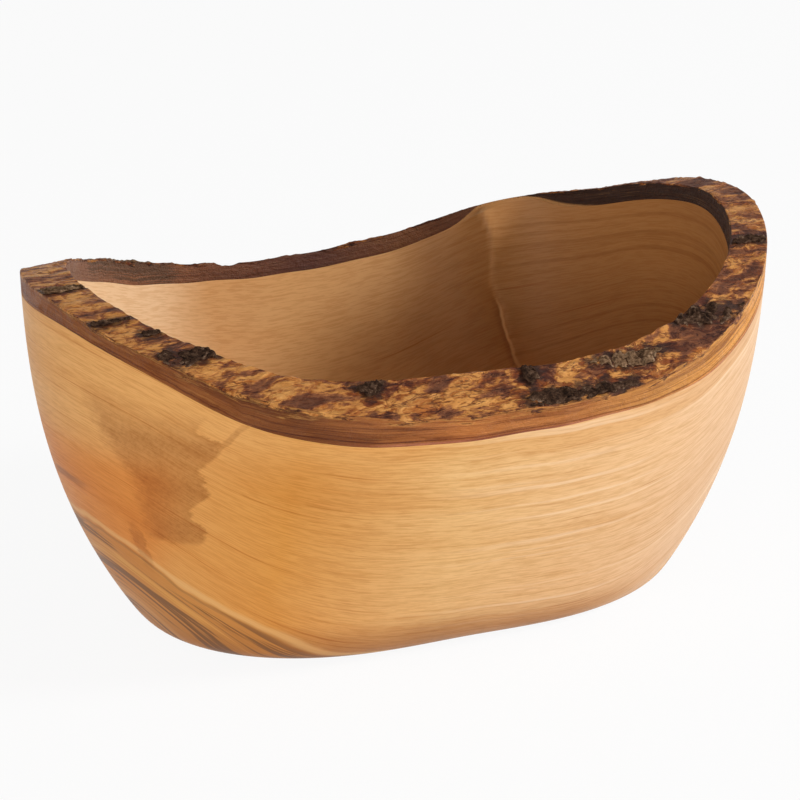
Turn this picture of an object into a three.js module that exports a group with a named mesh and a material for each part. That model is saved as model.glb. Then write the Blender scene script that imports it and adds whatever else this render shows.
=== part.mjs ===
import * as THREE from 'three';

// Natural-edge bowl, hollowed from half a log of olive wood that keeps its bark round the rim.
// Millimetres and degrees. X runs along the log, Y across it, Z up, origin under the middle of the base.

// Outside of the wall, flaring from the base outline to the rim outline
const RIM_LENGTH = 202;
const RIM_WIDTH = 158;
const RIM_FULLNESS = 2;
const RIM_SHIFT_Y = -1;
const BASE_LENGTH = 145;
const BASE_WIDTH = 98;
const BASE_FULLNESS = 2.3;
const BASE_SHIFT_X = 1;
const CARVED_LOBE = 2;
const FLARE_HEIGHT = 112;
const FLARE_POWER = 2.84;
const FOOT_RADIUS = 5;

// Hollow, with a thicker wall at the left end
const WALL = 9.7;
const END_WALL_EXTRA = 2.3;
const END_WALL_SPREAD = 26;
const LEFT_END = 180;
const FLOOR = 12;
const HOLLOW_CORNER = 22;

// Ridge over a grown-in branch, which leans down the inside from the rim and fades out above the floor
const RIDGE_ANGLE = 45;
const RIDGE_LEAN = 0.2;
const RIDGE_TOP = 84;
const RIDGE_FOOT = 25;
const RIDGE_SPREAD = 7;
const RIDGE_HEIGHT = 3;
const RIDGE_BARK_ANGLE = 40.5;
const RIDGE_BARK_SPREAD = 8.5;
const RIDGE_BARK_LOSS = 0.9;

// Round of the log: how high it stands, how far it falls to the sides and how it lies to the bowl
const CROWN_HEIGHT = 100;
const RIM_DIP = 38;
const CROWN_SHIFT_Y = -5;
const LOG_SKEW = 3.2;
const LUMP_HEIGHT = 0.4;
const LUMPS_ROUND = 13;
const LUMP_TWIST = 7;

// Swell of the log and depth of the bark, at even steps round the rim from +X towards +Y
const EDGE_SWELL = [-0.5, -2, 1.4, 3, 4.5, 4.7, 3, 0.9, -1, -2.7, -2.4, 2.3, 3.9, 3.4, 2.1, 0.7];
const BARK_DEPTH = [5, 5.3, 4.4, 6.1, 5.8, 5.9, 7.2, 6.3, 6, 4.8, 8.6, 8.9, 7.4, 6.8, 9.6, 9];

// Glue-fine seam between layers, and what is left of the outer bark
const SEAM = 0.3;
const CRUST_EDGE = 0.4;
const CRUST_MARGIN = 0.4;
const CRUST_NOTCH = 0.2;
const CRUST_TOOTH = 0.14;
const CRUST_LEAST = 0.1;
const CRUST_TRIM = 0.02;

// Pieces of crust, ridges of outer bark that lie along the log. Each has the angle of its middle round the
// rim, its place from the outer edge 0 to the inner edge 1, and its length, width and thickness as multiples
// of the wall. Slew is how far a piece is turned from the log's length.
const CRUSTS = [
  { name: 'bark_crust_front_right', angle: -74.3, inset: 0.13, length: 4.3, width: 0.34, thick: 0.12 },
  { name: 'bark_crust_right_corner', angle: -43.3, inset: 0.62, length: 2.9, width: 0.5, thick: 0.14 },
  { name: 'bark_crust_right_end', angle: -21.9, inset: 0.5, length: 1.25, width: 0.26, thick: 0.07 },
  { name: 'bark_crust_nodules', angle: -63.5, inset: 0.64, length: 1.9, width: 0.34, thick: 0.13 },
  { name: 'bark_crust_front_middle', angle: -86.3, inset: 0.76, length: 0.42, width: 0.4, thick: 0.07 },
  { name: 'bark_crust_front_crumb', angle: -119.1, inset: 0.76, length: 0.62, width: 0.33, thick: 0.08 },
  { name: 'bark_crust_left_front', angle: -148.7, inset: 0.42, length: 1.8, width: 0.5, thick: 0.09 },
  { name: 'bark_crust_left_spot', angle: -156, inset: 0.84, length: 0.62, width: 0.16, thick: 0.06 },
  { name: 'bark_crust_left_strip', angle: -162, inset: 0.38, length: 1, width: 0.14, thick: 0.06 },
  { name: 'bark_crust_left_end', angle: -174.5, inset: 0.48, length: 1.34, width: 0.36, thick: 0.09 },
  { name: 'bark_crust_back_left', angle: 136, inset: 0.76, length: 3.2, width: 0.4, thick: 0.06, slew: 30 },
];

// Steps of the facets
const SPOKES = 96;
const WALL_STEPS = 11;
const FOOT_STEPS = 3;
const CORNER_STEPS = 5;
const RIM_STEPS = 4;
const BAND_STEPS = 2;
const CRUST_SECTORS = 14;
const CRUST_RINGS = 3;
const SOLVE_STEPS = 40;

const FULL_TURN = 2 * Math.PI;
const radians = THREE.MathUtils.degToRad;

const materials = {
  wood: new THREE.MeshStandardMaterial({ color: 0xd9a566, roughness: 0.45, metalness: 0 }),
  bark: new THREE.MeshStandardMaterial({ color: 0x8a5a32, roughness: 0.6, metalness: 0 }),
  crust: new THREE.MeshStandardMaterial({ color: 0x4a3526, roughness: 0.85, metalness: 0 }),
};

// Outline and wall: each radius is measured from the Z axis along a spoke at the angle turn

function ovalRadius(length, width, fullness, turn) {
  const along = Math.abs(Math.cos(turn) / (length / 2)) ** fullness;
  const across = Math.abs(Math.sin(turn) / (width / 2)) ** fullness;
  return (along + across) ** (-1 / fullness);
}

function outerRadius(turn, z) {
  const rim = ovalRadius(RIM_LENGTH, RIM_WIDTH, RIM_FULLNESS, turn) + RIM_SHIFT_Y * Math.sin(turn);
  const base = ovalRadius(BASE_LENGTH, BASE_WIDTH, BASE_FULLNESS, turn) + BASE_SHIFT_X * Math.cos(turn);
  const left = 1 - z / FLARE_HEIGHT;
  const flare = 1 - Math.sign(left) * Math.abs(left) ** FLARE_POWER;
  return base + (rim - base) * flare + CARVED_LOBE * Math.cos(3 * (turn - Math.PI / 2));
}

function bump(turn, centre, spread, power) {
  const away = Math.atan2(Math.sin(turn - radians(centre)), Math.cos(turn - radians(centre)));
  return Math.exp(-(Math.abs(away / radians(spread)) ** power));
}

function ridge(turn, z) {
  const centre = RIDGE_ANGLE - RIDGE_LEAN * (RIDGE_TOP - z);
  const fade = THREE.MathUtils.smoothstep(z, RIDGE_FOOT, RIDGE_TOP);
  return RIDGE_HEIGHT * fade * bump(turn, centre, RIDGE_SPREAD, 2);
}

// The wall is measured square to the outline, so it is longer where the spoke meets it aslant
function innerRadius(turn, z) {
  const step = FULL_TURN / SPOKES;
  const radius = outerRadius(turn, z);
  const slant = (outerRadius(turn + step, z) - outerRadius(turn - step, z)) / (2 * step * radius);
  const wall = WALL + END_WALL_EXTRA * bump(turn, LEFT_END, END_WALL_SPREAD, 2);
  return radius - wall * Math.hypot(1, slant) - ridge(turn, z);
}

// Natural edge: the outside of the log, and the line where its bark meets the wood

function roundTheRim(values, turn) {
  const place = ((turn / FULL_TURN) % 1 + 1) % 1 * values.length;
  const first = Math.floor(place);
  const at = (offset) => values[(first + offset + values.length) % values.length];
  const part = place - first;
  const bend = 2 * at(-1) - 5 * at(0) + 4 * at(1) - at(2);
  const twist = -at(-1) + 3 * at(0) - 3 * at(1) + at(2);
  return at(0) + 0.5 * part * (at(1) - at(-1) + part * (bend + part * twist));
}

function logHeight(turn, radius) {
  const logRadius = (RIM_DIP ** 2 + (RIM_WIDTH / 2) ** 2) / (2 * RIM_DIP);
  const along = radius * Math.cos(turn);
  const across = radius * Math.sin(turn) - CROWN_SHIFT_Y - along * Math.tan(radians(LOG_SKEW));
  const round = Math.sqrt(Math.max(logRadius ** 2 - across ** 2, 0));
  const lumps = LUMP_HEIGHT * Math.sin(LUMPS_ROUND * turn) * Math.cos(radius / WALL + LUMP_TWIST * turn);
  return CROWN_HEIGHT - logRadius + round + roundTheRim(EDGE_SWELL, turn) + lumps;
}

// Over the grown-in branch the wood comes up to the edge on the inside of the wall, so the bark is thin there
function barkHeight(turn, radius) {
  const top = logHeight(turn, radius);
  const inward = THREE.MathUtils.clamp((outerRadius(turn, top) - radius) / WALL, 0, 1);
  const loss = RIDGE_BARK_LOSS * inward * bump(turn, RIDGE_BARK_ANGLE, RIDGE_BARK_SPREAD, 4);
  return top - roundTheRim(BARK_DEPTH, turn) * (1 - loss);
}

function woodHeight(turn, radius) {
  return barkHeight(turn, radius) - SEAM;
}

// Height at which a wall runs into one of those surfaces on a spoke
function meet(wall, surface, turn) {
  let low = 0;
  let high = 2 * CROWN_HEIGHT;
  for (let i = 0; i < SOLVE_STEPS; i += 1) {
    const middle = (low + high) / 2;
    if (surface(turn, wall(turn, middle)) > middle) {
      low = middle;
    } else {
      high = middle;
    }
  }
  return (low + high) / 2;
}

// Sections: lists of [radius, height] on one spoke

function up(wall, turn, low, high, steps) {
  const points = [];
  for (let i = 0; i <= steps; i += 1) {
    const z = low + (high - low) * i / steps;
    points.push([wall(turn, z), z]);
  }
  return points;
}

function across(surface, turn, from, to, steps) {
  const points = [];
  for (let i = 1; i < steps; i += 1) {
    const radius = from + (to - from) * i / steps;
    points.push([radius, surface(turn, radius)]);
  }
  return points;
}

function roundedFoot(turn) {
  const points = [];
  for (let i = 0; i < FOOT_STEPS; i += 1) {
    const angle = i / FOOT_STEPS * Math.PI / 2;
    const z = FOOT_RADIUS * (1 - Math.cos(angle));
    points.push([outerRadius(turn, z) - FOOT_RADIUS * (1 - Math.sin(angle)), z]);
  }
  return points;
}

function roundedHollow(turn) {
  const points = [];
  for (let i = 1; i <= CORNER_STEPS; i += 1) {
    const angle = i / CORNER_STEPS * Math.PI / 2;
    const z = FLOOR + HOLLOW_CORNER * (1 - Math.sin(angle));
    points.push([innerRadius(turn, z) - HOLLOW_CORNER * (1 - Math.cos(angle)), z]);
  }
  return points;
}

function bowlSection(turn) {
  const outside = meet(outerRadius, woodHeight, turn);
  const inside = meet(innerRadius, woodHeight, turn);
  const outer = up(outerRadius, turn, FOOT_RADIUS, outside, WALL_STEPS);
  const inner = up(innerRadius, turn, FLOOR + HOLLOW_CORNER, inside, WALL_STEPS).reverse();
  const edge = across(woodHeight, turn, outer.at(-1)[0], inner[0][0], RIM_STEPS);
  return [...roundedFoot(turn), ...outer, ...edge, ...inner, ...roundedHollow(turn)];
}

function barkBand(wall, turn) {
  return up(wall, turn, meet(wall, barkHeight, turn), meet(wall, logHeight, turn), BAND_STEPS);
}

function barkSection(turn) {
  const outer = barkBand(outerRadius, turn);
  const inner = barkBand(innerRadius, turn).reverse();
  const top = across(logHeight, turn, outer.at(-1)[0], inner[0][0], RIM_STEPS);
  const under = across(barkHeight, turn, inner.at(-1)[0], outer[0][0], RIM_STEPS);
  return [...outer, ...top, ...inner, ...under];
}

// Lofts: rows of points joined by two triangles a cell

class Loft {
  constructor() {
    this.points = [];
    this.faces = [];
  }

  add(turn, radius, z) {
    this.points.push(radius * Math.cos(turn), radius * Math.sin(turn), z);
    return this.points.length / 3 - 1;
  }

  join(row, next, otherDiagonal = false) {
    for (let i = 0; i + 1 < row.length; i += 1) {
      const cell = [row[i], next[i], next[i + 1], row[i + 1]];
      const [a, b, c, d] = otherDiagonal ? [...cell.slice(1), cell[0]] : cell;
      this.faces.push(a, b, c, a, c, d);
    }
  }

  fan(pole, ring) {
    ring.forEach((point, i) => {
      this.faces.push(pole, point, ring[(i + 1) % ring.length]);
    });
  }

  mesh(name, material) {
    const geometry = new THREE.BufferGeometry();
    geometry.setAttribute('position', new THREE.Float32BufferAttribute(this.points, 3));
    geometry.setIndex(this.faces);
    geometry.computeVertexNormals();
    const mesh = new THREE.Mesh(geometry, material);
    mesh.name = name;
    return mesh;
  }
}

function roundTheBowl(section, loft) {
  const rows = [];
  for (let i = 0; i < SPOKES; i += 1) {
    const turn = i / SPOKES * FULL_TURN;
    rows.push(section(turn).map(([radius, z]) => loft.add(turn, radius, z)));
  }
  return rows;
}

function bowlBody() {
  const loft = new Loft();
  const rows = roundTheBowl(bowlSection, loft);
  rows.forEach((row, i) => loft.join(row, rows[(i + 1) % SPOKES]));
  loft.fan(loft.add(0, 0, 0), rows.map((row) => row[0]).reverse());
  loft.fan(loft.add(0, 0, FLOOR), rows.map((row) => row.at(-1)));
  return loft.mesh('bowl_body', materials.wood);
}

// The underside is split along the same diagonals as the wood below it, which keeps the seam even
function innerBarkRim() {
  const loft = new Loft();
  const rows = roundTheBowl(barkSection, loft).map((row) => [...row, row[0]]);
  rows.forEach((row, i) => {
    const next = rows[(i + 1) % SPOKES];
    const under = row.length - 1 - RIM_STEPS;
    loft.join(row.slice(0, under + 1), next.slice(0, under + 1));
    loft.join(row.slice(under), next.slice(under), true);
  });
  return loft.mesh('inner_bark_rim', materials.bark);
}

// Crust: a thin flake with a ragged edge that lies on the bark and ends short of the edges of the rim

function edgesOfRim(turn) {
  return [outerRadius, innerRadius].map((wall) => wall(turn, meet(wall, logHeight, turn)));
}

function onTheRim({ turn, radius }) {
  const [outer, inner] = edgesOfRim(turn);
  return radius > inner + CRUST_MARGIN && radius < outer - CRUST_MARGIN;
}

function barkCrust({ name, angle, inset, length, width, thick, slew = 0 }) {
  const loft = new Loft();
  const axis = new THREE.Vector2();
  const centre = new THREE.Vector2(THREE.MathUtils.lerp(...edgesOfRim(radians(angle)), inset), 0);
  centre.rotateAround(axis, radians(angle));
  const place = (part, around) => {
    const notches = CRUST_NOTCH * Math.sin(3 * around + angle);
    const ragged = WALL * part / 2 * (1 + notches + CRUST_TOOTH * Math.sin(5 * around + 2 * angle));
    const spot = new THREE.Vector2(length * Math.cos(around), width * Math.sin(around));
    spot.multiplyScalar(ragged).rotateAround(axis, radians(LOG_SKEW + slew)).add(centre);
    return { turn: spot.angle(), radius: spot.length() };
  };
  const sectors = Array.from({ length: CRUST_SECTORS }, (unused, sector) => {
    const around = sector / CRUST_SECTORS * FULL_TURN;
    let reach = 1;
    while (reach > CRUST_LEAST && !onTheRim(place(reach, around))) {
      reach -= CRUST_TRIM;
    }
    return { around, reach };
  });
  const add = ({ turn, radius }, height) => loft.add(turn, radius, logHeight(turn, radius) + SEAM + height);
  const ringAt = (part, height) => (
    sectors.map(({ around, reach }) => add(place(part * reach, around), height))
  );
  const under = [];
  const over = [];
  for (let ring = CRUST_RINGS; ring >= 1; ring -= 1) {
    const part = ring / CRUST_RINGS;
    under.unshift(ringAt(part, 0));
    over.push(ringAt(part, CRUST_EDGE + (WALL * thick - CRUST_EDGE) * (1 - part ** 2)));
  }
  const columns = sectors.map((unused, sector) => [...under, ...over].map((ring) => ring[sector]));
  const middle = place(0, 0);
  columns.forEach((column, i) => loft.join(column, columns[(i + 1) % CRUST_SECTORS]));
  loft.fan(add(middle, 0), columns.map((column) => column[0]).reverse());
  loft.fan(add(middle, WALL * thick), columns.map((column) => column.at(-1)));
  return loft.mesh(name, materials.crust);
}

const bowl = new THREE.Group();
bowl.add(bowlBody(), innerBarkRim(), ...CRUSTS.map(barkCrust));

export default bowl;
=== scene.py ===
import math

import bpy
import mathutils
import numpy as np
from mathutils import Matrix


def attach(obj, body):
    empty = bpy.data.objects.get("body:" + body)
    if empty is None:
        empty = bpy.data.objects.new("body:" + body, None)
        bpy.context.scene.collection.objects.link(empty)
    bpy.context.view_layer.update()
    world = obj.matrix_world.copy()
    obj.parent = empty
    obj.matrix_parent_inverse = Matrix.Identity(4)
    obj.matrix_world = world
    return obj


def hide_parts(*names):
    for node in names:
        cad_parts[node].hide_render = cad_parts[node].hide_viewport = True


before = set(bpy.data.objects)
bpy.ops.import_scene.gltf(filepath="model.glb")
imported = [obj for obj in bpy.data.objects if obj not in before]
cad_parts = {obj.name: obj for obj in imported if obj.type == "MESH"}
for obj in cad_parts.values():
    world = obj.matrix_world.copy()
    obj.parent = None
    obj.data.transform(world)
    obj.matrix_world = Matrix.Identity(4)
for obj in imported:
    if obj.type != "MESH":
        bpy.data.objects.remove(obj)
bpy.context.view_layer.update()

# Bowl body
# Half a log of olive wood, hollowed and shaped by hand, then sanded and oiled. It is one solid piece.
# Its growth rings lie round the pith, which runs along the bowl just under the base, and a branch that
# the tree grew over stands out as a sharp ridge inside the back right wall.

SPOKES = 96
BOWL_LENGTH = 0.2
PITH_Y = -0.005
PITH_Z = -0.001
LOG_SKEW = math.radians(3.2)
MERGE_DISTANCE = 1e-6
QUAD_BEND = math.radians(40)
QUAD_SKEW = math.radians(60)
SHARP_EDGE = math.radians(33)
LEAST_WEIGHT = 0.001
WOOD_CREASE = 1.0
WOOD_SUBDIVISIONS = 2
WOOD_GLOSS = 0.18
FACES_INWARDS = (0.05, 0.3)
FLOOR_FACES_UP = 0.5
FLOOR_BELOW = 0.05
WALL_FACES_UP = 0.4

RIDGE_FOOT = (0.03, 0.05)
CREST_TURN_AT_HEIGHT = {
    0.043: 35.7, 0.0456: 36.8, 0.052: 38.3, 0.057: 39.6, 0.062: 41.8, 0.077: 42.8, 0.085: 45.5,
}
CREST_HEIGHT = 0.0026
CREST_REACH = 0.0034
# Painted shade on the wall to the left of the crest, where the ridge's shadow falls.
CREST_SHADE_START = (-0.0002, 0.0012)
CREST_SHADE_END = (0.022, 0.002)
CREST_SHADE = (0.72, 0.68, 0.62)

# A fine line of painted highlight low down along the crest, with painted shade on one side of it.
HIGHLIGHT_TURN_AT_BASE = 21.9
HIGHLIGHT_TURN_PER_METRE = 321
HIGHLIGHT_TOP = (0.061, 0.054)
CREST_LINE_PAINTED_SHADE = (0.74, 0.66, 0.60)
PAINTED_HIGHLIGHT_TINT = (0.66, 0.37, 0.17)

FIGURE_FOOT = (0.0385, 0.0405)
FIGURE_RIGHT_EDGE = {"low": 0.045, "high": 0.069, "start": 32.4, "end": 36}
FIGURE_LEFT_EDGE = {"low": 0.052, "high": 0.078, "start": 22.4, "end": 14.5}
FIGURE_CEILING = {"low": 16, "high": 31, "start": 0.077, "end": 0.074}
FIGURE_STAIN = (0.62, 0.52, 0.43)
FINGER_HEIGHT = 0.0435
FINGER_PITCH = 0.01175
FINGER_LENGTH = 1.3
ARM_TURN = 36.5
ARM_HEIGHT = 0.067
ARM_TURN_PER_METRE = 4 / 0.0058
ARM_WIDTH = (1.0, 0.4)
ARM_FOOT = (0.062, 0.065)
ARM_TOP = (0.077, 0.073)
STEM_FOOT = (0.026, 0.034)
STEM_TOP = (0.045, 0.038)
STEM_LEFT = (18.5, 19.5)
STEM_RIGHT = (22, 21)

HEART_EDGE = (0.0385, 0.0355)
HEART_BORDER = 0.0368
HEART_BORDER_WIDTH = (0.0009, 0.0002)
HEART_GLEAM = 0.0388
HEART_GLEAM_WIDTH = (0.0016, 0.0003)
DARK_RING = 0.0492
DARK_RING_WIDTH = (0.0016, 0.0006)
HEARTWOOD = (0.53, 0.22, 0.048)
HEARTWOOD_GLEAM = (0.84, 0.52, 0.21)
HEARTWOOD_GOLD = (0.72, 0.36, 0.09)
HEARTWOOD_BROWN = (0.17, 0.07, 0.022)
HEARTWOOD_BORDER = (0.24, 0.10, 0.035)
DARK_RING_STAIN = (0.45, 0.38, 0.34)

OUTSIDE_TINTS = (
    (0.0, (0.77, 0.38, 0.13)),
    (0.22, (0.74, 0.33, 0.068)),
    (0.42, (0.83, 0.51, 0.215)),
    (0.6, (0.81, 0.50, 0.24)),
    (0.8, (0.77, 0.50, 0.29)),
)
# The hollow's tone along its length; the browns towards the right end are partly painted shade.
HOLLOW_TONE_AND_SHADE = (
    (0.27, (0.95, 0.64, 0.37)),
    (0.38, (0.73, 0.39, 0.155)),
    (0.5, (0.75, 0.42, 0.17)),
    (0.64, (0.68, 0.38, 0.16)),
    (0.7, (0.50, 0.257, 0.10)),
    (0.78, (0.435, 0.205, 0.069)),
    (1.0, (0.35, 0.15, 0.042)),
)
LOW_LEFT_BELOW = (0.068, 0.055)
LOW_LEFT_DARKENING = (0.95, 0.73, 0.49)
HIGH_LEFT_ABOVE = (0.055, 0.075)
HIGH_LEFT_TINT = (0.88, 0.48, 0.17)
# Lighter low down at the right end of the hollow, easing the painted shade there.
LOW_RIGHT_BELOW = (0.06, 0.035)
LOW_RIGHT_TINT = (0.55, 0.26, 0.095)
BROAD_GRAIN_STAIN = (0.90, 0.80, 0.66)
FINE_GRAIN_STAIN = (0.88, 0.80, 0.70)
FLECK_STAIN = (0.90, 0.85, 0.78)
ARC_STAIN = (0.84, 0.79, 0.72)
STREAK_STAIN = (0.82, 0.68, 0.54)
PALE_GRAIN = (0.90, 0.66, 0.43)
# Painted shade low on the outside along the foot, where the bowl meets the floor.
FOOT_BELOW = (0.017, 0.0)
FOOT_PAINTED_SHADE = (0.55, 0.44, 0.37)


def select_only(piece):
    bpy.ops.object.select_all(action="DESELECT")
    piece.select_set(True)
    bpy.context.view_layer.objects.active = piece


def apply_modifier(piece, kind, **settings):
    select_only(piece)
    modifier = piece.modifiers.new(kind.title(), kind)
    for name, value in settings.items():
        setattr(modifier, name, value)
    bpy.ops.object.modifier_apply(modifier=modifier.name)


def copy_of_node(node, name):
    piece = bpy.data.objects.new(name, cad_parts[node].data.copy())
    piece.data.materials.clear()
    bpy.context.scene.collection.objects.link(piece)
    select_only(piece)
    bpy.ops.object.mode_set(mode="EDIT")
    bpy.ops.mesh.select_all(action="SELECT")
    bpy.ops.mesh.remove_doubles(threshold=MERGE_DISTANCE)
    bpy.ops.mesh.tris_convert_to_quads(face_threshold=QUAD_BEND, shape_threshold=QUAD_SKEW)
    bpy.ops.object.mode_set(mode="OBJECT")
    return piece


def crease_sharp_edges(piece, crease):
    select_only(piece)
    bpy.ops.object.mode_set(mode="EDIT")
    bpy.ops.mesh.select_mode(type="EDGE")
    bpy.ops.mesh.select_all(action="DESELECT")
    bpy.ops.mesh.edges_select_sharp(sharpness=SHARP_EDGE)
    bpy.ops.transform.edge_crease(value=crease)
    bpy.ops.object.mode_set(mode="OBJECT")


def vectors_of(collection, field):
    flat = np.empty(3 * len(collection), np.float32)
    collection.foreach_get(field, flat)
    return flat.reshape(-1, 3).astype(float)


def points_of(piece):
    return vectors_of(piece.data.vertices, "co")


def write_attribute(piece, name, values):
    attribute = piece.data.attributes.new(name, "FLOAT", "POINT")
    attribute.data.foreach_set("value", np.asarray(values, np.float32))


def push(piece, name, weights, distance, **settings):
    """Moves the weighted part of a piece outwards or upwards, evenly or as a texture says."""
    group = piece.vertex_groups.new(name=name)
    for vertex in np.flatnonzero(weights > LEAST_WEIGHT):
        group.add([int(vertex)], float(weights[vertex]), "REPLACE")
    apply_modifier(piece, "DISPLACE", strength=distance, vertex_group=name, **settings)


def smooth(values, low, high):
    part = np.clip((values - low) / (high - low), 0, 1)
    return part * part * (3 - 2 * part)


def from_pith(points):
    x, y, z = points.T
    return np.hypot(y - PITH_Y - math.tan(LOG_SKEW) * x, z - PITH_Z)


def turn_of(points):
    return np.arctan2(points[:, 1], points[:, 0])


def inside_of(piece):
    """1 where a piece faces the hollow, 0 where it faces away from it."""
    points = points_of(piece)
    normals = vectors_of(piece.data.vertices, "normal")
    radius = np.maximum(np.hypot(*points[:, :2].T), MERGE_DISTANCE)
    inward = -np.sum(normals[:, :2] * points[:, :2], axis=1) / radius
    on_the_floor = (points[:, 2] < FLOOR_BELOW) & (normals[:, 2] > FLOOR_FACES_UP)
    return np.maximum(smooth(inward, *FACES_INWARDS), on_the_floor)


def outer_edge_of_wood():
    """The line on the outside of the wall where the wood ends and the bark begins, spoke by spoke."""
    points = points_of(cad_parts["bowl_body"])
    spokes = np.round(turn_of(points) / (2 * math.pi) * SPOKES).astype(int) % SPOKES
    radius = np.hypot(points[:, 0], points[:, 1])
    order = np.lexsort((radius, spokes))
    last = np.append(np.diff(spokes[order]) > 0, True)
    return points[order[last]]


class Finish:
    """One node material, with a short call for each kind of node that it uses."""

    def __init__(self, name):
        self.material = bpy.data.materials.new(name)
        self.material.use_nodes = True
        self.tree = self.material.node_tree
        self.surface = self.tree.nodes["Principled BSDF"]
        self.place = self.node("ShaderNodeTexCoord").outputs["Object"]
        split = self.node("ShaderNodeSeparateXYZ")
        self.put(split.inputs[0], self.place)
        self.along, self.across, self.height = split.outputs
        self.lengthways = self.plus(self.times(self.along, 1 / BOWL_LENGTH), 0.5)

    def node(self, kind, **settings):
        made = self.tree.nodes.new(kind)
        for name, value in settings.items():
            setattr(made, name, value)
        return made

    def put(self, socket, value):
        if isinstance(value, bpy.types.NodeSocket):
            self.tree.links.new(value, socket)
        elif isinstance(value, tuple) and len(value) == 3 and socket.type == "RGBA":
            socket.default_value = (*value, 1)
        else:
            socket.default_value = value

    def attribute(self, name):
        return self.node("ShaderNodeAttribute", attribute_name=name).outputs["Fac"]

    def math(self, operation, first, second=0.0):
        made = self.node("ShaderNodeMath", operation=operation)
        self.put(made.inputs[0], first)
        self.put(made.inputs[1], second)
        return made.outputs[0]

    def times(self, *values):
        product = values[0]
        for value in values[1:]:
            product = self.math("MULTIPLY", product, value)
        return product

    def plus(self, first, second):
        return self.math("ADD", first, second)

    def minus(self, first, second):
        return self.math("SUBTRACT", first, second)

    def away_from(self, value, middle):
        return self.math("ABSOLUTE", self.minus(value, middle))

    def rest_of(self, share):
        return self.minus(1.0, share)

    def shifted(self, value, noise, reach):
        """A value that wavers by half the reach to either side."""
        return self.plus(value, self.times(self.minus(noise, 0.5), reach))

    def stretched(self, x, y, z):
        made = self.node("ShaderNodeVectorMath", operation="MULTIPLY")
        self.put(made.inputs[0], self.place)
        made.inputs[1].default_value = (x, y, z)
        return made.outputs[0]

    def layers(self, depth, thin, long):
        """Places for a noise that lies in thin layers, drawn out along them."""
        made = self.node("ShaderNodeCombineXYZ")
        self.put(made.inputs[0], self.times(depth, thin))
        self.put(made.inputs[1], self.times(self.along, long))
        self.put(made.inputs[2], self.times(self.across, long))
        return made.outputs[0]

    def noise(self, vector, detail=2.0, roughness=0.5, distortion=0.0):
        made = self.node("ShaderNodeTexNoise")
        self.put(made.inputs["Vector"], vector)
        made.inputs["Scale"].default_value = 1.0
        made.inputs["Detail"].default_value = detail
        made.inputs["Roughness"].default_value = roughness
        made.inputs["Distortion"].default_value = distortion
        return made.outputs["Fac"]

    def rise(self, value, low, high, start=0.0, end=1.0):
        """Passes smoothly from start at low to end at high, which may also be the smaller of the two."""
        made = self.node("ShaderNodeMapRange", interpolation_type="SMOOTHSTEP")
        self.put(made.inputs["Value"], value)
        self.put(made.inputs["From Min"], low)
        self.put(made.inputs["From Max"], high)
        made.inputs["To Min"].default_value = start
        made.inputs["To Max"].default_value = end
        return made.outputs["Result"]

    def tints(self, value, *stops):
        made = self.node("ShaderNodeValToRGB")
        ramp = made.color_ramp
        while len(ramp.elements) < len(stops):
            ramp.elements.new(0.5)
        for element, (position, tint) in zip(ramp.elements, stops):
            element.position = position
            element.color = (*tint, 1)
        self.put(made.inputs["Fac"], value)
        return made.outputs["Color"]

    def mix(self, share, first, second, blend="MIX"):
        made = self.node("ShaderNodeMix", data_type="RGBA", blend_type=blend)
        self.put(made.inputs["Factor"], share)
        self.put(made.inputs["A"], first)
        self.put(made.inputs["B"], second)
        return made.outputs["Result"]

    def stain(self, share, colour, tint):
        return self.mix(share, colour, tint, "MULTIPLY")

    def bump(self, height, strength, distance):
        made = self.node("ShaderNodeBump")
        self.put(made.inputs["Height"], height)
        made.inputs["Strength"].default_value = strength
        made.inputs["Distance"].default_value = distance
        self.put(self.surface.inputs["Normal"], made.outputs["Normal"])


def brown_figure(wood):
    """Where a brown stain in the grain shows on the left front, with three blunt fingers to the right."""
    swing = wood.math("ARCTAN2", wood.times(wood.across, -1), wood.times(wood.along, -1))
    swing = wood.times(swing, 180 / math.pi)
    ragged = wood.noise(wood.stretched(130, 130, 230), detail=5, roughness=0.7)
    swing = wood.shifted(swing, ragged, 6)
    height = wood.shifted(wood.height, ragged, 0.005)
    fingers = wood.times(wood.minus(height, FINGER_HEIGHT), 2 * math.pi / FINGER_PITCH)
    fingers = wood.math("COSINE", fingers)
    edge = wood.plus(wood.times(fingers, FINGER_LENGTH), wood.rise(height, **FIGURE_RIGHT_EDGE))
    left_of_edge = wood.rise(wood.minus(swing, edge), 0.5, -0.5)
    below_ceiling = wood.minus(height, wood.rise(swing, **FIGURE_CEILING))
    below_ceiling = wood.rise(below_ceiling, 0.005, -0.006)
    patch = wood.times(left_of_edge, below_ceiling, wood.rise(height, *FIGURE_FOOT))
    right_of_edge = wood.minus(swing, wood.rise(height, **FIGURE_LEFT_EDGE))
    right_of_edge = wood.rise(right_of_edge, -1.5, 2.5)
    patch = wood.times(patch, right_of_edge, wood.rise(fingers, -0.4, 0.9, 0.8, 1.0))
    arm = wood.minus(swing, wood.times(wood.minus(height, ARM_HEIGHT), ARM_TURN_PER_METRE))
    arm = wood.rise(wood.away_from(arm, ARM_TURN), *ARM_WIDTH)
    arm = wood.times(arm, wood.rise(height, *ARM_FOOT), wood.rise(height, *ARM_TOP), 0.6)
    stem = wood.times(wood.rise(height, *STEM_FOOT), wood.rise(height, *STEM_TOP))
    stem = wood.times(stem, wood.rise(swing, *STEM_LEFT), wood.rise(swing, *STEM_RIGHT), 0.7)
    return wood.math("MAXIMUM", patch, wood.math("MAXIMUM", arm, stem))


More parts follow.
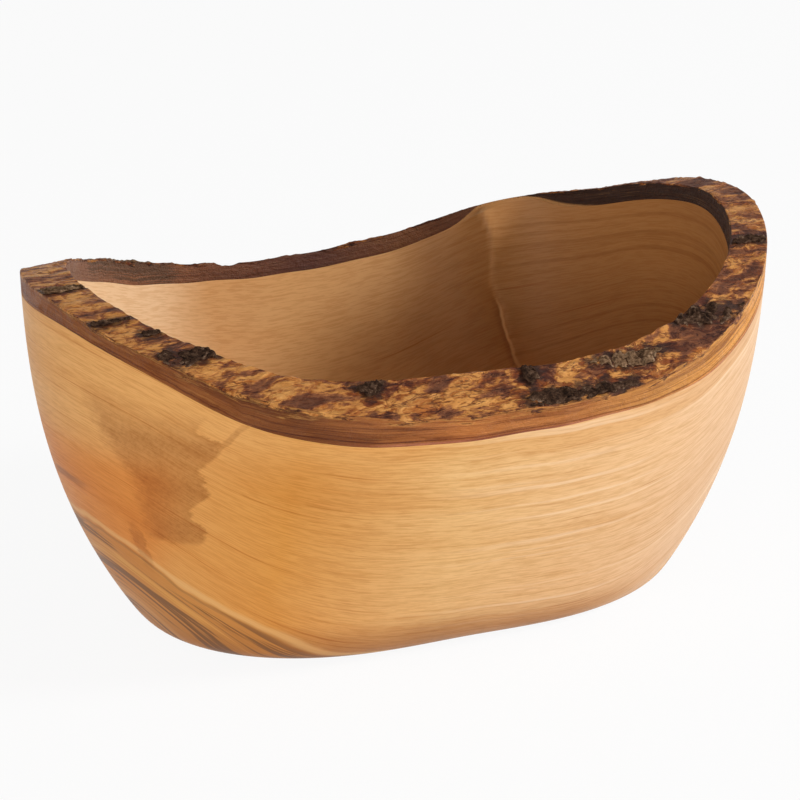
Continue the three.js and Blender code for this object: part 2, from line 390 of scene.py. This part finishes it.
def heartwood(wood, colour, ring):
    """The darker core of the log, marbled with brown and gold, which comes out low on the left and right."""
    swirl = wood.noise(wood.layers(ring, 24, 12), detail=4, roughness=0.6, distortion=0.9)
    core = wood.shifted(wood.attribute("pith"), wood.noise(wood.stretched(30, 60, 60)), 0.006)
    heart = wood.rise(core, *HEART_EDGE)
    colour = wood.mix(wood.times(heart, 0.7), colour, HEARTWOOD)
    gleam = wood.rise(wood.away_from(core, HEART_GLEAM), *HEART_GLEAM_WIDTH)
    colour = wood.mix(wood.times(gleam, 0.5), colour, HEARTWOOD_GLEAM)
    colour = wood.mix(wood.times(heart, wood.rise(swirl, 0.47, 0.38), 0.75), colour, HEARTWOOD_GOLD)
    colour = wood.mix(wood.times(heart, wood.rise(swirl, 0.53, 0.60), 0.85), colour, HEARTWOOD_BROWN)
    border = wood.rise(wood.away_from(core, HEART_BORDER), *HEART_BORDER_WIDTH)
    colour = wood.mix(wood.times(border, 0.45), colour, HEARTWOOD_BORDER)
    dark_ring = wood.rise(wood.away_from(core, DARK_RING), *DARK_RING_WIDTH)
    dark_ring = wood.times(dark_ring, wood.rise(wood.lengthways, 0.035, 0.025), 0.7)
    return wood.stain(dark_ring, colour, DARK_RING_STAIN)


def crest_highlight_and_shade(wood, colour):
    """A fine line of painted highlight low down on the crest of the ridge over the branch, with painted shade
    on one side of it.
    """
    turn = wood.times(wood.math("ARCTAN2", wood.across, wood.along), 180 / math.pi)
    turn = wood.shifted(turn, wood.noise(wood.stretched(0, 0, 150)), 2.6)
    line = wood.plus(wood.times(wood.height, HIGHLIGHT_TURN_PER_METRE), HIGHLIGHT_TURN_AT_BASE)
    beside = wood.minus(turn, line)
    reach = wood.times(wood.rise(wood.height, *HIGHLIGHT_TOP), wood.attribute("inside"))
    shaded_side = wood.times(wood.rise(beside, 0.0, 0.4), wood.rise(beside, 2.6, 0.4), reach)
    colour = wood.stain(shaded_side, colour, CREST_LINE_PAINTED_SHADE)
    highlight_line = wood.times(wood.rise(wood.math("ABSOLUTE", beside), 0.75, 0.1), reach, 0.6)
    return wood.mix(highlight_line, colour, PAINTED_HIGHLIGHT_TINT)


def outside_colour(wood, lengthways):
    """Orange to the left and cream to the right, darker and redder low on the left end and golden above it.
    """
    colour = wood.tints(lengthways, *OUTSIDE_TINTS)
    low_left = wood.rise(wood.height, *LOW_LEFT_BELOW)
    low_left = wood.times(low_left, wood.rise(wood.lengthways, 0.12, 0.07))
    colour = wood.stain(low_left, colour, LOW_LEFT_DARKENING)
    high_left = wood.rise(wood.height, *HIGH_LEFT_ABOVE)
    high_left = wood.times(high_left, wood.rise(wood.lengthways, 0.42, 0.3), 0.6)
    return wood.mix(high_left, colour, HIGH_LEFT_TINT)


def hollow_colour(wood, lengthways):
    """Pale at the left end of the hollow and brown at the right, less so low down; the brown is partly the
    wood's own tone and partly painted shade.
    """
    colour = wood.tints(lengthways, *HOLLOW_TONE_AND_SHADE)
    low_right = wood.rise(wood.height, *LOW_RIGHT_BELOW)
    low_right = wood.times(low_right, wood.rise(wood.lengthways, 0.66, 0.76), 0.5)
    return wood.mix(low_right, colour, LOW_RIGHT_TINT)


def grain_lines(wood, colour, ring, fine):
    """Lines, flecks and streaks along the growth rings, with fainter lines and broad arcs in the hollow."""
    inside = wood.attribute("inside")
    clear = wood.times(wood.rise(inside, 0.0, 1.0, 1.0, 0.35), wood.rise(wood.lengthways, 0.1, 0.4, 0.6, 1.0))
    broad = wood.noise(wood.layers(ring, 9, 6), detail=3)
    colour = wood.stain(wood.times(wood.rise(broad, 0.58, 0.34), clear), colour, BROAD_GRAIN_STAIN)
    colour = wood.stain(wood.times(wood.rise(fine, 0.54, 0.34), clear), colour, FINE_GRAIN_STAIN)
    flecks = wood.noise(wood.layers(ring, 300, 190), detail=3, roughness=0.6)
    colour = wood.stain(wood.rise(flecks, 0.56, 0.40), colour, FLECK_STAIN)
    arcs = wood.noise(wood.layers(ring, 42, 3), detail=3)
    arcs = wood.times(inside, wood.rise(arcs, 0.54, 0.66), wood.rise(wood.lengthways, 0.6, 0.85))
    colour = wood.stain(arcs, colour, ARC_STAIN)
    streak = wood.noise(wood.layers(ring, 85, 14), detail=2)
    colour = wood.stain(wood.rise(streak, 0.67, 0.74), colour, STREAK_STAIN)
    pale = wood.noise(wood.layers(ring, 60, 7), detail=3)
    pale = wood.times(wood.rise(pale, 0.56, 0.70), wood.rise(wood.lengthways, 0.35, 0.6), 0.5)
    return wood.mix(wood.times(pale, wood.rest_of(inside)), colour, PALE_GRAIN)


def olive_wood():
    wood = Finish("oiled_olive_wood")
    inside = wood.attribute("inside")
    ring = wood.shifted(wood.attribute("growth"), wood.noise(wood.stretched(7, 16, 16)), 0.05)
    fine = wood.noise(wood.layers(ring, 180, 34), detail=6, roughness=0.68)
    cloud = wood.noise(wood.stretched(22, 22, 30), detail=2)
    lengthways = wood.shifted(wood.lengthways, cloud, 0.1)
    colour = wood.mix(inside, outside_colour(wood, lengthways), hollow_colour(wood, lengthways))
    colour = grain_lines(wood, colour, ring, fine)
    # Painted shade along the foot, where the bowl meets the floor, weaker towards the right end.
    foot_shade = wood.rise(wood.shifted(wood.height, cloud, 0.012), *FOOT_BELOW)
    foot_shade = wood.times(foot_shade, wood.rise(wood.lengthways, 0.55, 0.8, 1.0, 0.3))
    colour = wood.stain(foot_shade, colour, FOOT_PAINTED_SHADE)
    # Painted shade to the left of the ridge's crest, its cast shadow.
    colour = wood.stain(wood.attribute("painted_shade_beside_crest"), colour, CREST_SHADE)
    # Painted highlight along the lower crest of the ridge, with painted shade beside it.
    colour = crest_highlight_and_shade(wood, colour)
    colour = heartwood(wood, colour, ring)
    stipple = wood.noise(wood.stretched(500, 900, 900), detail=3, roughness=0.7)
    figure = wood.times(brown_figure(wood), wood.rise(stipple, 0.3, 0.6, 1.0, 0.75))
    colour = wood.stain(wood.times(figure, wood.rest_of(inside)), colour, FIGURE_STAIN)
    wood.put(wood.surface.inputs["Base Color"], colour)
    wood.put(wood.surface.inputs["Roughness"], wood.rise(fine, 0.3, 0.7, 0.52, 0.42))
    wood.surface.inputs["Specular IOR Level"].default_value = WOOD_GLOSS
    wood.bump(fine, strength=0.06, distance=0.0004)
    return wood.material


def from_crest(points):
    """How far a point lies from the crest of the ridge, measured round the wall, negative on its right."""
    x, y, z = points.T
    crest = np.interp(z, list(CREST_TURN_AT_HEIGHT), list(CREST_TURN_AT_HEIGHT.values()))
    return (turn_of(points) - np.radians(crest)) * np.hypot(x, y)


bowl = copy_of_node("bowl_body", "bowl")
crease_sharp_edges(bowl, WOOD_CREASE)
apply_modifier(bowl, "SUBSURF", levels=WOOD_SUBDIVISIONS, render_levels=WOOD_SUBDIVISIONS)
hollow_side = inside_of(bowl)
on_wall = hollow_side * (vectors_of(bowl.data.vertices, "normal")[:, 2] < WALL_FACES_UP)
on_ridge = on_wall * smooth(points_of(bowl)[:, 2], *RIDGE_FOOT)
away = from_crest(points_of(bowl))
push(bowl, "crest", on_ridge * np.exp(-np.abs(away) / CREST_REACH), CREST_HEIGHT, mid_level=0)
# Painted shade on the wall to the left of the crest, where the ridge's shadow falls.
painted_shade_beside_crest = on_ridge * smooth(away, *CREST_SHADE_START) * smooth(away, *CREST_SHADE_END)
write_attribute(bowl, "painted_shade_beside_crest", painted_shade_beside_crest)
wood_edge = outer_edge_of_wood()
bowl_turn = turn_of(points_of(bowl))
edge_growth = np.interp(bowl_turn, turn_of(wood_edge), from_pith(wood_edge), period=2 * math.pi)
write_attribute(bowl, "pith", from_pith(points_of(bowl)))
write_attribute(bowl, "growth", from_pith(points_of(bowl)) / edge_growth)
write_attribute(bowl, "inside", hollow_side)
select_only(bowl)
bpy.ops.object.shade_smooth_by_angle(angle=SHARP_EDGE)
bowl.data.materials.append(olive_wood())
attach(bowl, "root")
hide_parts("bowl_body")

# Bark rim
# The layer of inner bark that the maker leaves on the edge of the log, all the way round the mouth.
# Its top is the grown outside of the log, ridged along the grain, and its sides were sanded flush with
# the wood, so they show the bark's own layers. It sits on the wood without a gap.

BARK_SUBDIVISIONS = 3
BARK_CREASE = 0.8
BARK_GLOSS = 0.18
SEAM = 0.00035
FACES_UP = 0.45
RELIEF_UNIT = 0.0008
FURROW_STRETCH = 4
FURROW_WIDTH = 0.0035
FURROW_DEPTH = 0.0009
GRIT_SIZE = 0.0014
GRIT_DEPTH = 0.0005
CHIP_TURN = math.radians(107)
CHIP_SPREAD = math.radians(2.7)
CHIP_DEPTH = 0.0009
CHIP_FOOT = 0.0705
CHIP_TOP = 0.0735
BARE_SHARE_AT_TURN = {
    20: -0.1, 26: 0.13, 31.7: 0.28, 35.6: 0.46, 39.2: 1.1, 44.7: 1.1, 47.5: 0.25, 51: -0.1,
}
BARE_EDGE = (-0.06, 0.06)

OUTER_BAND_TINTS = (
    (0.08, (0.33, 0.103, 0.024)),
    (0.2, (0.255, 0.078, 0.019)),
    (0.45, (0.58, 0.20, 0.049)),
    (0.6, (0.54, 0.20, 0.050)),
    (0.72, (0.69, 0.305, 0.073)),
    (0.85, (0.92, 0.42, 0.10)),
)
# The inside band's tone along its length, partly painted shade, darkest at the right end.
INNER_BAND_TONE_AND_SHADE = (
    (0.1, (0.31, 0.168, 0.112)),
    (0.23, (0.37, 0.155, 0.076)),
    (0.42, (0.20, 0.08, 0.044)),
    (0.54, (0.125, 0.05, 0.036)),
    (0.66, (0.22, 0.09, 0.04)),
    (0.74, (0.16, 0.065, 0.035)),
    (0.81, (0.045, 0.02, 0.013)),
)
CROWN_TINTS = (
    (0.41, (0.145, 0.048, 0.020)),
    (0.46, (0.235, 0.079, 0.030)),
    (0.487, (0.335, 0.116, 0.037)),
    (0.503, (0.485, 0.185, 0.046)),
    (0.525, (0.63, 0.262, 0.060)),
    (0.62, (0.78, 0.365, 0.098)),
)
CAMBIUM_STAIN = (0.62, 0.48, 0.46)
CAMBIUM_PINK = (0.56, 0.19, 0.115)
BLOTCH_STAIN = (0.66, 0.58, 0.52)
BLOTCH_GOLD = (0.54, 0.23, 0.06)
LAYER_STAIN = (0.60, 0.52, 0.48)
FIBRE_STAIN = (0.78, 0.70, 0.64)
FIBRE_GOLD = (0.70, 0.36, 0.12)
VEIN_STAIN = (0.60, 0.48, 0.41)
CURL_STAIN = (0.68, 0.50, 0.38)
CURL_OUTLINE_STAIN = (0.36, 0.26, 0.22)
BACK_RIM = (0.02, 0.05)
BACK_RIM_DARKENING = (0.55, 0.47, 0.44)
THREAD_STAIN = (0.38, 0.30, 0.27)
DARK_ROUND_CRUST = (0.042, 0.018, 0.009)
DARK_ROUND_CRUST_REACH = (0.0024, 0.0008)
SMEAR_STAIN = (0.55, 0.42, 0.35)
SMEAR_REACH = (0.004, 0.0)
CRUST_DUST = (0.085, 0.055, 0.035)
CRUST_DUST_REACH = (0.0075, 0.003)
GILT_EDGE = (0.64, 0.31, 0.08)
GROOVE_STAIN = (0.30, 0.24, 0.22)
BARE_WOOD = (0.50, 0.25, 0.09)


def vertices_of_faces(piece, chosen):
    share = np.zeros(len(piece.data.vertices))
    for face in np.flatnonzero(chosen):
        share[list(piece.data.polygons[face].vertices)] = 1
    return share


def settle(piece, drop):
    """Lowers the faces that look down, so that the piece rests on what is under it."""
    facing = vectors_of(piece.data.polygons, "normal")[:, 2]
    piece.data.polygons.foreach_set("select", facing < -FACES_UP)
    select_only(piece)
    bpy.ops.object.mode_set(mode="EDIT")
    bpy.ops.mesh.select_mode(type="FACE")
    bpy.ops.transform.translate(value=(0, 0, -drop))
    bpy.ops.object.mode_set(mode="OBJECT")


def sanded_side(bark, layer, layered, fibres):
    """The bark's own layers, laid bare outside by sanding and inside by hollowing, with dust of the crust,
    and painted shade that darkens the inside towards the right end.
    """
    cloud = bark.noise(bark.stretched(30, 30, 60), detail=2)
    lengthways = bark.shifted(bark.lengthways, cloud, 0.12)
    outside = bark.tints(lengthways, *OUTER_BAND_TINTS)
    cambium = bark.rise(bark.away_from(layer, 0.15), 0.04, 0.01)
    outside = bark.stain(cambium, outside, CAMBIUM_STAIN)
    pink = bark.times(bark.rise(layer, 0.12, 0.05), bark.rise(bark.lengthways, 0.22, 0.4), 0.7)
    outside = bark.mix(pink, outside, CAMBIUM_PINK)
    blotches = bark.noise(bark.layers(layer, 3, 34), detail=3, roughness=0.6)
    outside = bark.stain(bark.rise(blotches, 0.52, 0.38), outside, BLOTCH_STAIN)
    outside = bark.mix(bark.times(bark.rise(blotches, 0.56, 0.68), 0.5), outside, BLOTCH_GOLD)
    # The inside band, with painted shade darkening it towards the right end.
    hollow = bark.tints(lengthways, *INNER_BAND_TONE_AND_SHADE)
    side = bark.mix(bark.attribute("inside"), outside, hollow)
    side = bark.stain(bark.rise(layered, 0.52, 0.36), side, LAYER_STAIN)
    side = bark.stain(bark.rise(fibres, 0.52, 0.36), side, FIBRE_STAIN)
    side = bark.mix(bark.times(bark.rise(fibres, 0.56, 0.70), 0.3), side, FIBRE_GOLD)
    draped = bark.rise(bark.shifted(bark.attribute("to_crust"), layered, 0.02), *CRUST_DUST_REACH)
    return bark.mix(bark.times(draped, bark.attribute("inside"), 0.7), side, CRUST_DUST)


def gold_and_brown(bark, veins):
    """How far each place on the grown top is rubbed from brown bark down to gold."""
    patches = bark.noise(bark.stretched(42, 88, 88), detail=4, roughness=0.58, distortion=2.2)
    mottle = bark.plus(bark.times(patches, 0.78), bark.times(veins, 0.22))
    mottle = bark.plus(mottle, bark.times(bark.attribute("relief"), 0.02))
    mottle = bark.plus(mottle, bark.rise(bark.lengthways, 0.12, 0.4, 0.016, -0.006))
    corner = bark.times(bark.rise(bark.lengthways, 0.66, 0.78), bark.rise(bark.lengthways, 0.95, 0.86))
    mottle = bark.minus(mottle, bark.times(corner, 0.02))
    return bark.plus(mottle, bark.rise(bark.lengthways, 0.1, 0.03, 0.0, 0.025))


def grown_top_colour(bark, mottle, veins, curls):
    """Gold and brown patches with dark veins, curls and threads, darker round the flakes of crust."""
    crown = bark.tints(mottle, *CROWN_TINTS)
    crown = bark.stain(bark.rise(veins, 0.48, 0.36), crown, VEIN_STAIN)
    crown = bark.stain(bark.rise(curls, 0.52, 0.40), crown, CURL_STAIN)
    outlines = bark.rise(bark.away_from(curls, 0.47), 0.03, 0.008)
    outlines = bark.times(outlines, bark.rise(bark.lengthways, 0.3, 0.55), 0.8)
    crown = bark.stain(outlines, crown, CURL_OUTLINE_STAIN)
    # Darker along the back of the rim's top.
    crown = bark.stain(bark.rise(bark.across, *BACK_RIM), crown, BACK_RIM_DARKENING)
    threads = bark.noise(bark.stretched(26, 170, 170), detail=4, roughness=0.6)
    crown = bark.stain(bark.rise(bark.away_from(threads, 0.5), 0.014, 0.004), crown, THREAD_STAIN)
    # Near black close round the flakes of crust.
    near_crust = bark.rise(bark.shifted(bark.attribute("to_crust"), veins, 0.006), *DARK_ROUND_CRUST_REACH)
    crown = bark.mix(bark.times(near_crust, 0.8), crown, DARK_ROUND_CRUST)
    smeared = bark.rise(bark.shifted(bark.attribute("to_crust"), curls, 0.024), *SMEAR_REACH)
    return bark.stain(smeared, crown, SMEAR_STAIN)


def inner_bark():
    bark = Finish("inner_bark")
    layer = bark.noise(bark.stretched(15, 40, 50), detail=3)
    layer = bark.shifted(bark.attribute("band"), layer, 0.35)
    layered = bark.noise(bark.layers(layer, 13, 22), detail=5, roughness=0.7)
    fibres = bark.noise(bark.layers(layer, 45, 70), detail=4, roughness=0.7)
    veins = bark.noise(bark.stretched(230, 560, 560), detail=5, roughness=0.75)
    curls = bark.noise(bark.stretched(150, 330, 330), detail=4, roughness=0.65, distortion=1.6)
    mottle = gold_and_brown(bark, veins)
    side = sanded_side(bark, layer, layered, fibres)
    crown = grown_top_colour(bark, mottle, veins, curls)
    tongues = bark.noise(bark.layers(layer, 5, 110), detail=4, roughness=0.6)
    ragged = bark.plus(bark.attribute("grown_top"), bark.times(bark.attribute("faces_up"), 0.7))
    ragged = bark.shifted(ragged, tongues, 2.6)
    gilt = bark.times(bark.rise(ragged, 0.45, 0.8), bark.rise(fibres, 0.47, 0.56), 0.7)
    side = bark.mix(bark.times(gilt, bark.rest_of(bark.attribute("inside"))), side, GILT_EDGE)
    colour = bark.mix(bark.rise(ragged, 0.84, 0.90), side, crown)
    groove = bark.rise(bark.away_from(ragged, 0.86), 0.09, 0.02)
    colour = bark.stain(bark.times(groove, bark.rise(veins, 0.62, 0.42)), colour, GROOVE_STAIN)
    colour = bark.mix(bark.attribute("bare"), colour, BARE_WOOD)
    bark.put(bark.surface.inputs["Base Color"], colour)
    bark.put(bark.surface.inputs["Roughness"], bark.rise(mottle, 0.4, 0.6, 0.6, 0.4))
    bark.surface.inputs["Specular IOR Level"].default_value = BARK_GLOSS
    bark.bump(bark.plus(veins, bark.times(curls, 0.8)), strength=0.9, distance=0.0014)
    return bark.material


def cloud_relief(name, size, depth, hard=False):
    relief = bpy.data.textures.new(name, "CLOUDS")
    relief.noise_type = "HARD_NOISE" if hard else "SOFT_NOISE"
    relief.noise_scale = size
    relief.noise_depth = depth
    return relief


def round_the_rim(points, turn, spread):
    """1 at one place round the rim, fading to 0 on either side of it."""
    return np.exp(-((turn_of(points) - turn) / spread) ** 4)


def distance_to_crust(points):
    flakes = [points_of(piece) for name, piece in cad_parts.items() if name.startswith("bark_crust")]
    flakes = np.concatenate(flakes)
    tree = mathutils.kdtree.KDTree(len(flakes))
    for index, point in enumerate(flakes):
        tree.insert(point, index)
    tree.balance()
    return [tree.find(point)[2] for point in points]


rim = copy_of_node("inner_bark_rim", "bark_rim")
settle(rim, SEAM)
facing = vectors_of(rim.data.polygons, "normal")[:, 2]
grown_top = vertices_of_faces(rim, facing > FACES_UP)
under = vertices_of_faces(rim, facing < -FACES_UP)
crease_sharp_edges(rim, BARK_CREASE)
write_attribute(rim, "band", 0.5 + 0.5 * grown_top - 0.5 * under)
write_attribute(rim, "grown_top", grown_top)
apply_modifier(rim, "SUBSURF", levels=BARK_SUBDIVISIONS, render_levels=BARK_SUBDIVISIONS)
hollow_side = inside_of(rim)
before = points_of(rim)
rough = np.where(vectors_of(rim.data.vertices, "normal")[:, 2] > FACES_UP, 1.0, 0.0)
chip = smooth(before[:, 2], CHIP_FOOT, CHIP_TOP) * round_the_rim(before, CHIP_TURN, CHIP_SPREAD)
push(rim, "chip", chip, -CHIP_DEPTH, mid_level=0, direction="Z")
bpy.ops.object.empty_add(rotation=(0, 0, LOG_SKEW))
along_the_log = bpy.context.active_object
along_the_log.scale = (FURROW_STRETCH, 1, 1)
furrows = cloud_relief("bark_ridges", FURROW_WIDTH, depth=2, hard=True)
push(rim, "ridges", rough, FURROW_DEPTH, texture=furrows, texture_coords="OBJECT",
     texture_coords_object=along_the_log)
bpy.data.objects.remove(along_the_log)
grit = cloud_relief("bark_grit", GRIT_SIZE, depth=2)
push(rim, "grit", rough, GRIT_DEPTH, texture=grit, texture_coords="LOCAL")
write_attribute(rim, "relief", (points_of(rim) - before)[:, 2] / RELIEF_UNIT)
write_attribute(rim, "inside", hollow_side)
write_attribute(rim, "faces_up", rough)
band = np.empty(len(before), np.float32)
rim.data.attributes["band"].data.foreach_get("value", band)
bare_share = np.interp(
    np.degrees(turn_of(before)), list(BARE_SHARE_AT_TURN), list(BARE_SHARE_AT_TURN.values()),
)
write_attribute(rim, "bare", hollow_side * smooth(bare_share - band, *BARE_EDGE))
write_attribute(rim, "to_crust", distance_to_crust(before))
select_only(rim)
bpy.ops.object.shade_smooth_by_angle(angle=SHARP_EDGE)
rim.data.materials.append(inner_bark())
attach(rim, "root")
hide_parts("inner_bark_rim")

# Crust
# Flakes of the rough outer bark that the maker didn't scrape off. They lie along the log as the bark's
# furrows did, grown on to the inner bark, dark, brittle and full of cracks. One is a row of nodules, and
# three are broken by gaps.

CRUST_SUBDIVISIONS = 3
CRUST_SINK = 0.0006
CRUST_ROUGHNESS = 0.8
CRUST_GLOSS = 0.05
CRUMBLE_SIZE = 0.0016
CRUMBLE_DEPTH = 0.0010
LUMP_SIZE = 0.0026
LUMP_DEPTH = 0.0009
LUMP_LEVEL = 0.35
NODULES = "bark_crust_nodules"
NODULE_PITCH = 0.0041
NODULE_VALLEY = 0.0011
NODULE_SIZE = 0.0036
NODULE_DEPTH = 0.0012
VALLEY_SHARPNESS = 6
GAP_SIZE = 0.004
GAP_LEVEL = 0.38
GAP_DEPTHS = {
    "bark_crust_right_corner": 0.0055,
    "bark_crust_front_right": 0.0024,
    "bark_crust_left_front": 0.0036,
}
PALE_CRUSTS = (NODULES, "bark_crust_left_end", "bark_crust_back_left")
# Ramp stops for painted shade from the relief, mixed with the crust's grit.
SHADE_AND_GRIT_STOPS = (0.40, 0.5, 0.6, 0.70)
DARK_SHADES = ((0.016, 0.008, 0.005), (0.052, 0.026, 0.015), (0.11, 0.062, 0.038), (0.32, 0.215, 0.145))
PALE_SHADES = ((0.045, 0.022, 0.011), (0.175, 0.098, 0.052), (0.30, 0.185, 0.105), (0.46, 0.325, 0.215))


def outer_bark(name, shades):
    """Painted shade in the cracks and painted light on the raised lumps, over the crust's own speckled grit.
    """
    crust = Finish(name)
    grit = crust.noise(crust.stretched(620, 900, 900), detail=5, roughness=0.8)
    # Painted shade where the relief sinks and painted light where it rises.
    relief_shade_and_grit = crust.rise(crust.attribute("relief"), -1.6, 1.2, 0.0, 0.2)
    relief_shade_and_grit = crust.plus(relief_shade_and_grit, crust.times(grit, 0.85))
    crust.put(crust.surface.inputs["Base Color"], crust.tints(relief_shade_and_grit, *zip(SHADE_AND_GRIT_STOPS, shades)))
    crust.surface.inputs["Roughness"].default_value = CRUST_ROUGHNESS
    crust.surface.inputs["Specular IOR Level"].default_value = CRUST_GLOSS
    crust.bump(grit, strength=0.5, distance=0.0008)
    return crust.material


def pebbles(name, size):
    relief = bpy.data.textures.new(name, "VORONOI")
    relief.noise_scale = size
    return relief


dark_bark = outer_bark("outer_bark", DARK_SHADES)
pale_bark = outer_bark("outer_bark_pale", PALE_SHADES)
lumps = pebbles("crust_lumps", LUMP_SIZE)
nodules = pebbles("crust_nodules", NODULE_SIZE)
gaps = cloud_relief("crust_gaps", GAP_SIZE, depth=1)
crumble = cloud_relief("crust_crumble", CRUMBLE_SIZE, depth=3, hard=True)
for node in sorted(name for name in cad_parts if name.startswith("bark_crust")):
    flake = copy_of_node(node, node.replace("bark_crust", "crust"))
    bpy.ops.transform.translate(value=(0, 0, -CRUST_SINK))
    bpy.ops.object.transform_apply(location=True)
    apply_modifier(flake, "SUBSURF", levels=CRUST_SUBDIVISIONS, render_levels=CRUST_SUBDIVISIONS,
                   subdivision_type="SIMPLE")
    before = points_of(flake)
    normals = vectors_of(flake.data.vertices, "normal")
    all_over = np.ones(len(before))
    if node in GAP_DEPTHS:
        push(flake, "gaps", all_over, -GAP_DEPTHS[node], texture=gaps, texture_coords="LOCAL",
             mid_level=GAP_LEVEL, direction="Z")
    if node == NODULES:
        valleys = np.cos(math.pi * before[:, 0] / NODULE_PITCH) ** VALLEY_SHARPNESS
        push(flake, "valleys", valleys, -NODULE_VALLEY, mid_level=0, direction="Z")
        push(flake, "lumps", all_over, -NODULE_DEPTH, texture=nodules, texture_coords="LOCAL",
             mid_level=LUMP_LEVEL)
    else:
        push(flake, "lumps", all_over, -LUMP_DEPTH, texture=lumps, texture_coords="LOCAL",
             mid_level=LUMP_LEVEL)
    push(flake, "crumble", all_over, CRUMBLE_DEPTH, texture=crumble, texture_coords="LOCAL")
    write_attribute(flake, "relief", np.sum((points_of(flake) - before) * normals, axis=1) / RELIEF_UNIT)
    select_only(flake)
    bpy.ops.object.shade_smooth()
    flake.data.materials.append(pale_bark if node in PALE_CRUSTS else dark_bark)
    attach(flake, "root")
    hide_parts(node)

# Floor and backdrop
# A sheet of white paper that the bowl stands on, in a white room that is bright low down and dim overhead.
# Both look white to the camera, and the paper keeps the bowl's shadow.

FLOOR_SIZE = 6
FLOOR_GLOW = 0.92
PAPER_WHITE = (0.9, 0.9, 0.9, 1)
PAPER_ROUGHNESS = 0.9
ROOM_WHITE = (1, 1, 1, 1)
ROOM_GLOW = ((0.0, 0.95), (0.35, 0.4), (1.0, 0.06))


def seen_directly(tree):
    """1 for what the camera sees, also by way of a gloss or a glass."""
    path = tree.nodes.new("ShaderNodeLightPath")
    total = path.outputs["Is Camera Ray"]
    for name in ("Is Glossy Ray", "Is Transmission Ray"):
        larger = tree.nodes.new("ShaderNodeMath")
        larger.operation = "MAXIMUM"
        tree.links.new(total, larger.inputs[0])
        tree.links.new(path.outputs[name], larger.inputs[1])
        total = larger.outputs[0]
    return total


def white_paper():
    material = bpy.data.materials.new("white_paper")
    material.use_nodes = True
    tree = material.node_tree
    paper = tree.nodes["Principled BSDF"]
    paper.inputs["Base Color"].default_value = PAPER_WHITE
    paper.inputs["Roughness"].default_value = PAPER_ROUGHNESS
    share = tree.nodes.new("ShaderNodeMath")
    share.operation = "MULTIPLY"
    share.inputs[1].default_value = FLOOR_GLOW
    glow = tree.nodes.new("ShaderNodeEmission")
    both = tree.nodes.new("ShaderNodeMixShader")
    tree.links.new(seen_directly(tree), share.inputs[0])
    tree.links.new(share.outputs[0], both.inputs[0])
    tree.links.new(paper.outputs[0], both.inputs[1])
    tree.links.new(glow.outputs[0], both.inputs[2])
    tree.links.new(both.outputs[0], tree.nodes["Material Output"].inputs["Surface"])
    return material


def white_room():
    world = bpy.data.worlds.new("white_room")
    world.use_nodes = True
    tree = world.node_tree
    direction = tree.nodes.new("ShaderNodeSeparateXYZ")
    tree.links.new(tree.nodes.new("ShaderNodeTexCoord").outputs["Generated"], direction.inputs[0])
    glow = tree.nodes.new("ShaderNodeValToRGB")
    glow.color_ramp.elements.new(0.5)
    for element, (height, level) in zip(glow.color_ramp.elements, ROOM_GLOW):
        element.position = height
        element.color = (level, level, level, 1)
    both = tree.nodes.new("ShaderNodeMix")
    both.data_type = "RGBA"
    both.inputs["B"].default_value = ROOM_WHITE
    tree.links.new(direction.outputs["Z"], glow.inputs["Fac"])
    tree.links.new(seen_directly(tree), both.inputs["Factor"])
    tree.links.new(glow.outputs["Color"], both.inputs["A"])
    tree.links.new(both.outputs["Result"], tree.nodes["Background"].inputs["Color"])
    return world


bpy.ops.object.select_all(action="DESELECT")
bpy.ops.mesh.primitive_plane_add(size=FLOOR_SIZE, location=(0, 0, 0))
floor = bpy.context.active_object
floor.name = "paper_floor"
floor.data.materials.append(white_paper())
bpy.context.scene.world = white_room()

# Light
# One soft box in front on the right, as the shade inside the bowl shows, and a weaker one low on the left.
# Both are round and point at the middle of the bowl.

LAMP_AIM = 0.05


def soft_box(name, azimuth, elevation, distance, size, power):
    azimuth = math.radians(azimuth)
    elevation = math.radians(elevation)
    reach = distance * math.cos(elevation)
    height = LAMP_AIM + distance * math.sin(elevation)
    location = (reach * math.cos(azimuth), reach * math.sin(azimuth), height)
    bpy.ops.object.light_add(type="AREA", location=location)
    lamp = bpy.context.active_object
    lamp.name = name
    lamp.data.shape = "DISK"
    lamp.data.size = size
    lamp.data.energy = power
    lamp.rotation_euler = (math.pi / 2 - elevation, 0, azimuth + math.pi / 2)


soft_box("key_box", azimuth=-30, elevation=29, distance=1.3, size=0.33, power=12)
soft_box("fill_box", azimuth=-130, elevation=9, distance=1.5, size=0.5, power=7)

# Camera
# It looks at the bowl from the front left, a little from above, through a long lens. The pixel of the
# point it aims at, at half the bowl's height, gives the shift of the lens.

CAMERA_AZIMUTH = math.radians(-25)
CAMERA_ELEVATION = math.radians(20)
CAMERA_DISTANCE = 0.9
AIM_HEIGHT = 0.05
PIXELS_PER_METRE = 3750
IMAGE_WIDTH = 800
AIM_PIXEL = (393.6, 404.6)
SENSOR = 36

bpy.ops.object.camera_add()
camera = bpy.context.active_object
camera.data.sensor_width = SENSOR
camera.data.lens = PIXELS_PER_METRE * CAMERA_DISTANCE / IMAGE_WIDTH * SENSOR
camera.data.shift_x = (IMAGE_WIDTH / 2 - AIM_PIXEL[0]) / IMAGE_WIDTH
camera.data.shift_y = (AIM_PIXEL[1] - IMAGE_WIDTH / 2) / IMAGE_WIDTH
reach = CAMERA_DISTANCE * math.cos(CAMERA_ELEVATION)
camera.location = (
    reach * math.sin(CAMERA_AZIMUTH),
    -reach * math.cos(CAMERA_AZIMUTH),
    AIM_HEIGHT + CAMERA_DISTANCE * math.sin(CAMERA_ELEVATION),
)
camera.rotation_euler = (math.pi / 2 - CAMERA_ELEVATION, 0, CAMERA_AZIMUTH)
bpy.context.scene.camera = camera
bpy.context.scene.view_settings.view_transform = "Standard"
